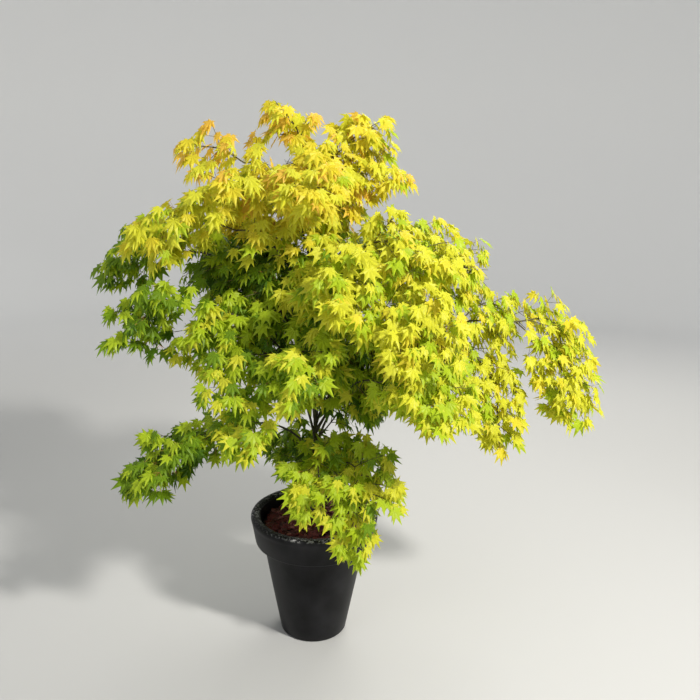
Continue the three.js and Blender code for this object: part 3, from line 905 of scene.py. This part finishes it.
def grow_spray(growth, number, name):
    """Pairs of side twigs along a spray's stem, longest in the middle, and a shoot that ends it."""
    random = np.random.default_rng(100 + number)
    growth.spray = number
    line = stem_lines[name]
    spread = SPRAYS[name][4] / 1000
    reach = 0.80 * spread + 0.042
    pairs = max(4, round(length_of(line) / PAIR_SPACING))
    share_grown = AIRY.get(name, 1)
    for i, share in enumerate(np.linspace(0.18, 0.96, pairs - 1)):
        (place,), (forward,) = at_share(line, share)
        fullness = 0.45 + 0.55 * sin(pi * min(1, 0.18 + 0.72 * share))
        aside = pair_aside(random, forward, i)
        for sign in (1, -1):
            side = branch_off(random, forward, sign * aside, 0.15)
            length = reach * fullness * random.uniform(0.85, 1.1)
            if share_grown == 1 or random.uniform() < share_grown:
                growth.shoot(random, place, side, length, 2)
    (place,), (forward,) = at_share(line, 1)
    growth.twigs[1].append(line)
    growth.shoot(random, place, forward, 0.025 + 0.35 * spread, 2)
    # The stem bears leaves of its own too, in pairs between the pairs of twigs.
    places, headings = at_share(line, np.linspace(0.14, 0.93, pairs))
    for place, forward in zip(places, headings):
        aside = across(forward, random.uniform(0, 180))
        for sign in (1, -1):
            growth.add_leaf(place, unit(0.6 * forward + sign * aside), 0.5)


# The trunk and the limbs are bare of spurs up to here.
BARE_BELOW = 0.98


def grow_spurs(growth, line, first, last, spacing, lengths):
    """Short shoots in pairs along a limb or the trunk, which fill the crown's inside."""
    # Each line ends somewhere else, and its seed comes from there.
    random = np.random.default_rng(round(1000 * line[-1].sum()) % 9973)
    count = max(2, round(length_of(line) * (last - first) / spacing))
    places, headings = at_share(line, np.linspace(first, last, count))
    for number, (place, forward) in enumerate(zip(places, headings)):
        if place[2] < BARE_BELOW:
            continue
        growth.spray = int(norm(hearts - place, axis=1).argmin())
        aside = across(forward, 90 * (number % 2) + random.uniform(-30, 30))
        for sign in (1, -1):
            side = unit(0.5 * forward + sign * aside)
            growth.shoot(random, place, side, random.uniform(*lengths), 2)


growth = Growth()
for number, name in enumerate(SPRAYS):
    grow_spray(growth, number, name)
for line in limb_lines.values():
    grow_spurs(growth, line, 0.22, 0.86, 0.040, (0.06, 0.15))
grow_spurs(growth, trunk_line, 0.43, 0.98, 0.045, (0.08, 0.18))
leaves = np.array(growth.leaves)
print("leaves grown:", len(leaves))
print("twigs:", {rank: len(lines) for rank, lines in growth.twigs.items()})

# %% [markdown]
# ## Keeping each spray to its own space
#
# The gaps between the layers make a maple look light, so a leaf that has strayed nearer to another
# spray's heart than to its own is taken off, as is one that would be in the pot, past the solid
# model's box or against the trunk. The rest are dealt out in tints by their spray, a little golder
# towards the young tips and greener deep inside, which is partly painted shade.

# %% Thin the leaves and deal out the tints
LEAF_SIZE = 0.057
STALK = 0.024
# A leaf may be this much nearer to another spray's heart than to its own.
STRAY = 0.035
POT_RADIUS = 0.262
POT_TOP = 0.515
PAST_BOX = 0.006
FROM_TRUNK = 0.03
TINTS = ["apricot", "gold", "yellow", "lime", "green", "shaded_deep_green"]
SPRAY_TINTS = {
    "apricot": (0.20, 0.50, 0.27, 0.03, 0, 0),
    "gold": (0.04, 0.38, 0.47, 0.11, 0, 0),
    "yellow": (0, 0.05, 0.65, 0.26, 0.04, 0),
    # A brighter mix: painted light for the sunlit skirt and the low right layer.
    "fresh": (0, 0, 0.38, 0.55, 0.07, 0),
    "lime": (0, 0, 0.20, 0.53, 0.25, 0.02),
    "green": (0, 0, 0, 0.29, 0.55, 0.16),
}


def thin_leaves(leaves):
    places = leaves[:, :3]
    own = leaves[:, 7].astype(int)
    tips = places + leaves[:, 3:6] * (1, 1, 0.3) * (LEAF_SIZE + STALK)
    far = norm(tips[:, None] - hearts[None], axis=2)
    own_far = far[np.arange(len(leaves)), own]
    keep = own_far < far.min(axis=1) + STRAY
    for ends in (places, tips):
        reach = np.hypot(ends[:, 0], ends[:, 1])
        keep &= ~((reach < POT_RADIUS) & (ends[:, 2] < POT_TOP))
    low, high = np.array(solid_box) + [[-PAST_BOX], [PAST_BOX]]
    keep &= ((tips > low) & (tips < high)).all(axis=1)
    off_trunk = tips - on_trunk(tips[:, 2])
    keep &= np.hypot(off_trunk[:, 0], off_trunk[:, 1]) > FROM_TRUNK
    return leaves[keep]


def deal_tints(leaves):
    """The number of each leaf's tint, golder for young leaves and greener, partly as painted shade, for
    those far inside.
    """
    random = np.random.default_rng(5)
    own = leaves[:, 7].astype(int)
    chances = np.array([SPRAY_TINTS[row[6]] for row in SPRAYS.values()])[own]
    sums = np.cumsum(chances, axis=1)
    places = leaves[:, :3]
    # Leaves deep inside the crown are dealt greener: partly their own colour, partly painted shade.
    outward_and_lit = np.hypot(places[:, 0], places[:, 1]) / 0.45 + np.clip(places[:, 2] - 1.5, 0, 1) * 3
    shift = 0.10 * (leaves[:, 6] - 0.5) + 0.30 * (np.clip(outward_and_lit, 0, 1) - 0.85)
    draw = np.clip(random.uniform(0, 1, len(leaves)) - shift, 0.001, 0.999) * sums[:, -1]
    return (draw[:, None] > sums).sum(axis=1)


leaves = thin_leaves(leaves)
tints = deal_tints(leaves)
print("leaves kept:", len(leaves))
print("by tint:", dict(zip(TINTS, np.bincount(tints, minlength=len(TINTS)).tolist())))

# %% [markdown]
# ## One leaf
#
# A Japanese maple's leaf is a star of seven pointed lobes that share one point, where the stalk meets
# the blade. A lobe has a tip, a shoulder on each side, a raised ridge between the shoulders and a
# notch on each side, which it shares with the next lobe. Six triangles join them to each other and to
# the middle, so a lobe is a shallow roof that catches light on one side, and a leaf has only 42
# faces, because thousands are needed. Five variants, more or less hung and folded, keep the crown
# from looking stamped.

# %% Shape the leaf's variants
# Each lobe's direction, in degrees from the middle one, and its length.
LOBES = [(0, 1.00), (38, 0.90), (78, 0.68), (122, 0.38)]
NOTCH = 0.50
SHOULDER = 0.58
SHOULDER_WIDTH = 0.20
# The last notches, beside the stalk.
BACK_ANGLE = 150
BACK_REACH = 0.16
# How far each variant hangs, how high its folds stand and how far its lobes are spread.
LEAF_SHAPES = [
    (0.08, 0.05, 1.0), (0.2, 0.08, 0.97), (0.34, 0.10, 0.9), (0.48, 0.07, 0.82), (0.15, 0.13, 0.94)
]


def one_leaf(hang, fold, spread):
    """Corners and faces of a blade whose middle lobe is 1 long and points along +X, face up."""
    shape = bmesh.new()
    middle = shape.verts.new((0, 0, 0))
    lobes = [(-angle, size) for angle, size in reversed(LOBES[1:])] + LOBES
    back = radians(BACK_ANGLE)
    notches = [(-back, BACK_REACH)]
    for (angle, size), (other, other_size) in zip(lobes, lobes[1:]):
        reach = NOTCH * min(size, other_size) ** 0.6
        notches.append((radians((angle + other) / 2 * spread), reach))
    notches.append((back, BACK_REACH))

    def corner(angle, reach, height=0):
        return shape.verts.new((reach * cos(angle), reach * sin(angle), height))

    edge = [corner(*notch) for notch in notches]
    for (degrees, size), before, after in zip(lobes, edge, edge[1:]):
        angle = radians(degrees * spread)
        tip = corner(angle, size)
        ridge = corner(angle, size * SHOULDER, fold * size)
        half = SHOULDER_WIDTH * size**0.4
        left = corner(angle - half, size * SHOULDER)
        right = corner(angle + half, size * SHOULDER)
        for trio in (
            (middle, before, ridge), (before, left, ridge), (left, tip, ridge),
            (ridge, tip, right), (ridge, right, after), (middle, ridge, after),
        ):
            shape.faces.new(trio)
    for part in shape.verts:
        part.co.z -= hang * part.co.xy.length_squared
    bmesh.ops.recalc_face_normals(shape, faces=shape.faces)
    return arrays_of(shape)


VARIANTS = [one_leaf(*leaf_shape) for leaf_shape in LEAF_SHAPES]
print("faces to a leaf:", len(VARIANTS[0][1]))

# %% [markdown]
# ## Hanging the leaves
#
# The stalk stands away from the twig, and the blade's middle lobe points outwards and down while its
# upper side looks up and out, towards the light. So each leaf's heading is its side of the twig,
# turned down by a seeded amount, and its face is up, leaning away from the trunk and towards the
# sun's side.

# %% Place every leaf and its stalk
# How steeply the blades hang: the least and the most fall to one metre outwards.
HANG_DOWN = (0.35, 1.75)
LIGHT_SIDE = np.array([0.4, -0.9, 0.0])
LEAF_SIZES = (0.68, 1.18)
STALK_SIZES = (0.6, 1.3)


def hang_leaves(leaves):
    """Where each blade starts, the matrix that turns it, and its size."""
    random = np.random.default_rng(17)
    count = len(leaves)
    places, sides = leaves[:, :3], leaves[:, 3:6]
    outward = unit_rows((places - on_trunk(1.2)) * (1, 1, 0.15))
    stalks = unit_rows(sides + 0.35 * outward + 0.25 * random.normal(size=(count, 3)))
    lengths = STALK * random.uniform(*STALK_SIZES, count)
    blades = places + stalks * lengths[:, None]
    heading = unit_rows((stalks + 0.45 * outward) * (1, 1, 0))
    heading[:, 2] = -random.uniform(*HANG_DOWN, count)
    heading = unit_rows(heading)
    face = UP + 0.45 * outward + 0.50 * LIGHT_SIDE + 0.32 * random.normal(size=(count, 3))
    across = unit_rows(np.cross(face, heading))
    upper = np.cross(heading, across)
    turns = np.stack([heading, across, upper], axis=2)
    sizes = LEAF_SIZE * random.uniform(*LEAF_SIZES, count)
    return blades, turns, sizes


blades, turns, sizes = hang_leaves(leaves)
print(len(sizes), "blades, on average", round(1000 * sizes.mean()), "mm long")

# %% [markdown]
# ## The leaves' finish
#
# A thin leaf both reflects light and lets it through, a little brighter on the way. That is a
# Principled shader mixed with a Translucent one. Its base colour is plain: the variety comes from the
# six tints. One noise breaks up the sheen, and with a finer one it raises small bumps. All leaves of
# one tint are copied into one mesh with arrays, which is far quicker than an operator for each leaf.

# %% Make the leaf materials and the leaf pieces
LEAF_LOOKS = {
    "apricot": ("leaf_gold", (0.80, 0.55, 0.070)),
    "gold": ("leaf_gold", (0.71, 0.62, 0.037)),
    "yellow": ("leaf_lime", (0.655, 0.65, 0.040)),
    "lime": ("leaf_lime", (0.43, 0.55, 0.021)),
    "green": ("leaf_green", (0.18, 0.30, 0.010)),
    # The deep green is a darker copy of the green leaf, partly painted shade for leaves inside the
    # crown.
    "shaded_deep_green": ("leaf_green", (0.075, 0.16, 0.008)),
}
# How much of the light goes through a leaf, and how much brighter it comes out.
THROUGH_SHARE = 0.42
THROUGH_GAIN = 1.15


def leaf_material(name, colour):
    finish = Finish(name, 0.45)
    finish.shader.inputs["Base Color"].default_value = (*colour, 1)
    finish.shader.inputs["Specular IOR Level"].default_value = 0.3
    blotches = finish.noise(55, 3)
    finish.roughness(blotches, 0.34, 0.62)
    finish.bump(finish.noise(900, 2), 0.0003, 0.5)
    finish.bump(blotches, 0.0012, 0.4)
    glow = (*(min(1, part * THROUGH_GAIN) for part in colour), 1)
    through = finish.node("BsdfTranslucent", {"Color": glow}, "BSDF")
    parts = {"Fac": THROUGH_SHARE, 1: finish.shader.outputs["BSDF"], 2: through}
    blend = finish.node("MixShader", parts, "Shader")
    finish.tree.links.new(blend, finish.tree.nodes["Material Output"].inputs["Surface"])
    return finish.material


def leaf_piece(number, tint, colour):
    """Every leaf of one tint, whichever variant it is, as one mesh."""
    random = np.random.default_rng(31)
    variant = random.integers(0, len(VARIANTS), len(leaves))
    parts, faces, start = [], [], 0
    for index, (corners, trios) in enumerate(VARIANTS):
        chosen = (tints == number) & (variant == index)
        moved, joined = joined_copies(corners, trios, blades[chosen], turns[chosen], sizes[chosen])
        parts.append(moved)
        faces.append(joined + start)
        start += len(moved)
    material = leaf_material(tint.replace("_", " ") + " leaf", colour)
    return object_from_arrays("leaves_" + tint, np.vstack(parts), np.vstack(faces), material)


for number, (tint, (slot, colour)) in enumerate(LEAF_LOOKS.items()):
    # The lime leaves stand for the fresh sprays too, whose brighter tint is painted sunlight.
    like = (tint, "fresh") if tint == "lime" else (tint,)
    solids = ["spray_" + name for name, row in SPRAYS.items() if row[6] in like]
    finish_piece(leaf_piece(number, tint, colour), slot, *solids)

# %% [markdown]
# ## Twigs and stalks
#
# The wood between limb and leaf is thin: stems of 4 to 6 mm, twigs of 1 to 3 mm and stalks of about a
# millimetre. They are plain tubes of three to six sides, thousands of them, so arrays make them and
# no extrusion does. Twigs are olive brown, and the stalks are yellow with a red flush.

# %% Make tubes for all twigs and stalks
# Radius at the foot and at the tip, and the number of sides.
TUBES = {
    "stems": (0.0030, 0.0020, 6),
    "side_twigs": (0.0016, 0.0008, 4),
    "fine_twigs": (0.0010, 0.0006, 3),
    "leaf_stalks": (0.0006, 0.0005, 3),
}


def tubes(lines, first_radius, last_radius, sides):
    """Closed tubes along lines, as corners and faces."""
    corners, faces, start = [], [], 0
    angles = (np.arange(sides) * 2 * pi / sides)[None, :, None]
    for line in lines:
        count = len(line)
        headings = unit_rows(np.gradient(line, axis=0))
        aside = unit_rows(np.cross(headings, (0.31, 0.17, 0.93)))
        other = np.cross(headings, aside)
        radii = np.linspace(first_radius, last_radius, count)[:, None, None]
        ring = np.cos(angles) * aside[:, None] + np.sin(angles) * other[:, None]
        corners.append((line[:, None] + radii * ring).reshape(-1, 3))
        rings = start + np.arange(count - 1)[:, None] * sides
        low = rings + np.arange(sides)
        turn = rings + (np.arange(sides) + 1) % sides
        faces += np.stack([low, turn, turn + sides, low + sides], axis=2).reshape(-1, 4).tolist()
        faces.append(list(range(start + sides - 1, start - 1, -1)))
        start += count * sides
        faces.append(list(range(start - sides, start)))
    return np.vstack(corners), faces


def twig_piece(name, lines, material, slot, *nodes):
    arrays = tubes(lines, *TUBES[name])
    finish_piece(object_from_arrays(name, *arrays, material, smooth=True), slot, *nodes)


def stalk_material():
    finish = Finish("leaf stalk", 0.5)
    flush = finish.noise(8, 2)
    finish.colour(finish.ramp(flush, [(0.4, (0.42, 0.40, 0.05)), (0.65, (0.50, 0.14, 0.04))]))
    finish.roughness(flush, 0.4, 0.6)
    finish.bump(finish.noise(700, 2), 0.0001, 0.5)
    return finish.material


twig_bark = bark_material("twig bark", (0.045, 0.038, 0.014), (0.13, 0.115, 0.035), 2.2)
spray_nodes = ["spray_" + name for name in SPRAYS]
twig_piece("stems", growth.twigs[1], twig_bark, "bark", *spray_nodes)
twig_piece("side_twigs", growth.twigs[2], twig_bark, "bark")
twig_piece("fine_twigs", growth.twigs[3], twig_bark, "bark")
stalk_lines = np.stack([leaves[:, :3], blades], axis=1)
twig_piece("leaf_stalks", stalk_lines, stalk_material(), "leaf_lime")

# %% [markdown]
# ## Finish
#
# The visual model has to stay the size of the solid one, so both boxes are written down.

# %% Print the sizes and finish
visual_box = [list(corner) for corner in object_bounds()]
for name, low, high in zip("xyz", *visual_box):
    print(f"{name}: {low:.3f} to {high:.3f}")
